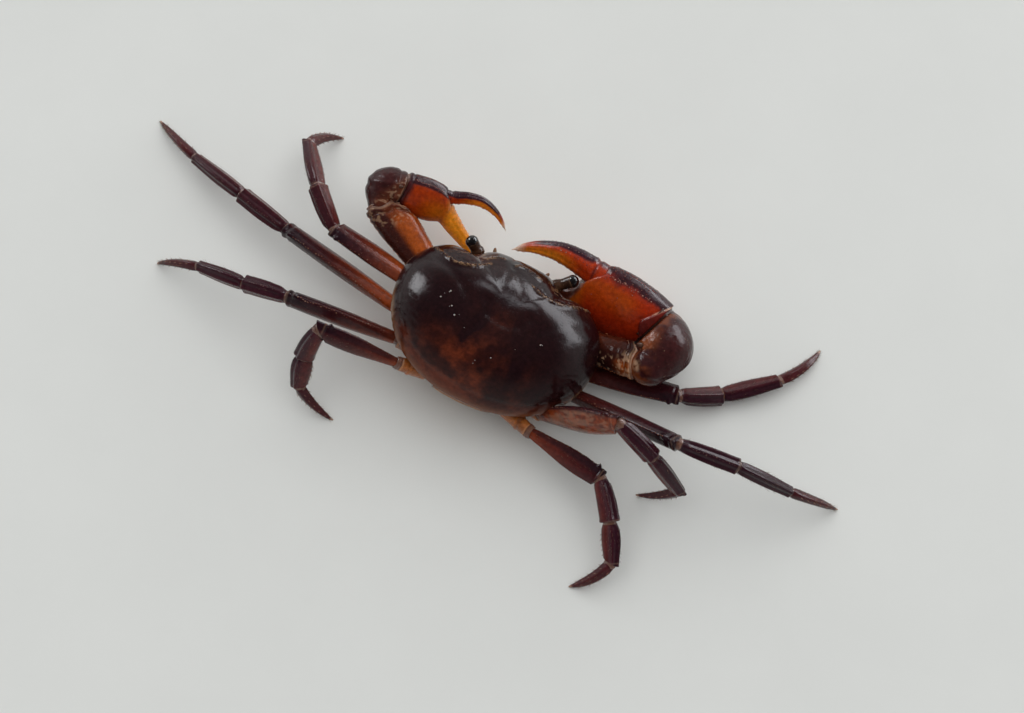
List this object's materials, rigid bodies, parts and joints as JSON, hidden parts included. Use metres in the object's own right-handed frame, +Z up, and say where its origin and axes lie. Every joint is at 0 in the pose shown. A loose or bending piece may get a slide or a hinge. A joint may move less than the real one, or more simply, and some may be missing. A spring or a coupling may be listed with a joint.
{
  "type": "freshwater crab (Lacunipotamon purpureum), still life-size model",
  "caption": "Small freshwater crab standing on its walking legs, body tilted to the right, unequal claws held in front; a still display model.",
  "frame": {"origin": "middle of the bounding box's bottom, on the floor that the leg tips stand on", "axes": "+Z up, the animal faces -Y, its left side is +X"},
  "size_m": [0.0918, 0.0414, 0.0153],
  "materials": {
    "shell": "wet gloss, dark purplish brown",
    "under_shell": "satin, tan brown",
    "leg_upper": "wet gloss, reddish brown",
    "leg_outer": "wet gloss, dark purplish brown",
    "leg_root": "satin, orange brown",
    "claw_palm": "wet gloss, orange red with a dark upper edge",
    "claw_finger": "wet gloss, orange red with a pale tip",
    "claw_elbow": "wet gloss, dark purplish brown",
    "claw_arm": "wet gloss, orange brown",
    "eye_stalk": "satin, brown",
    "eye_surface": "polished black",
    "mouth_plate": "satin, tan brown",
    "feeler": "satin, tan brown"
  },
  "bodies": {
    "root": {"abdomen": "under_shell", "antenna_left": "feeler", "antenna_right": "feeler", "carapace": "shell", "claw_left_carpus": "claw_elbow", "claw_left_finger": "claw_finger", "claw_left_merus": "claw_arm", "claw_left_palm": "claw_palm", "claw_right_carpus": "claw_elbow", "claw_right_finger": "claw_finger", "claw_right_merus": "claw_arm", "claw_right_palm": "claw_palm", "eye_left": "eye_surface", "eye_right": "eye_surface", "eyestalk_left": "eye_stalk", "eyestalk_right": "eye_stalk", "leg1_left_carpus": "leg_outer", "leg1_left_coxa": "leg_root", "leg1_left_dactylus": "leg_outer", "leg1_left_merus": "leg_upper", "leg1_left_propodus": "leg_outer", "leg1_right_carpus": "leg_outer", "leg1_right_coxa": "leg_root", "leg1_right_dactylus": "leg_outer", "leg1_right_merus": "leg_upper", "leg1_right_propodus": "leg_outer", "leg2_left_carpus": "leg_outer", "leg2_left_coxa": "leg_root", "leg2_left_dactylus": "leg_outer", "leg2_left_merus": "leg_upper", "leg2_left_propodus": "leg_outer", "leg2_right_carpus": "leg_outer", "leg2_right_coxa": "leg_root", "leg2_right_dactylus": "leg_outer", "leg2_right_merus": "leg_upper", "leg2_right_propodus": "leg_outer", "leg3_left_carpus": "leg_outer", "leg3_left_coxa": "leg_root", "leg3_left_dactylus": "leg_outer", "leg3_left_merus": "leg_upper", "leg3_left_propodus": "leg_outer", "leg3_right_carpus": "leg_outer", "leg3_right_coxa": "leg_root", "leg3_right_dactylus": "leg_outer", "leg3_right_merus": "leg_upper", "leg3_right_propodus": "leg_outer", "leg4_left_carpus": "leg_outer", "leg4_left_coxa": "leg_root", "leg4_left_dactylus": "leg_outer", "leg4_left_merus": "leg_upper", "leg4_left_propodus": "leg_outer", "leg4_right_carpus": "leg_outer", "leg4_right_coxa": "leg_root", "leg4_right_dactylus": "leg_outer", "leg4_right_merus": "leg_upper", "leg4_right_propodus": "leg_outer", "maxilliped_left": "mouth_plate", "maxilliped_right": "mouth_plate", "sternum": "under_shell"}
  },
  "joints": []
}
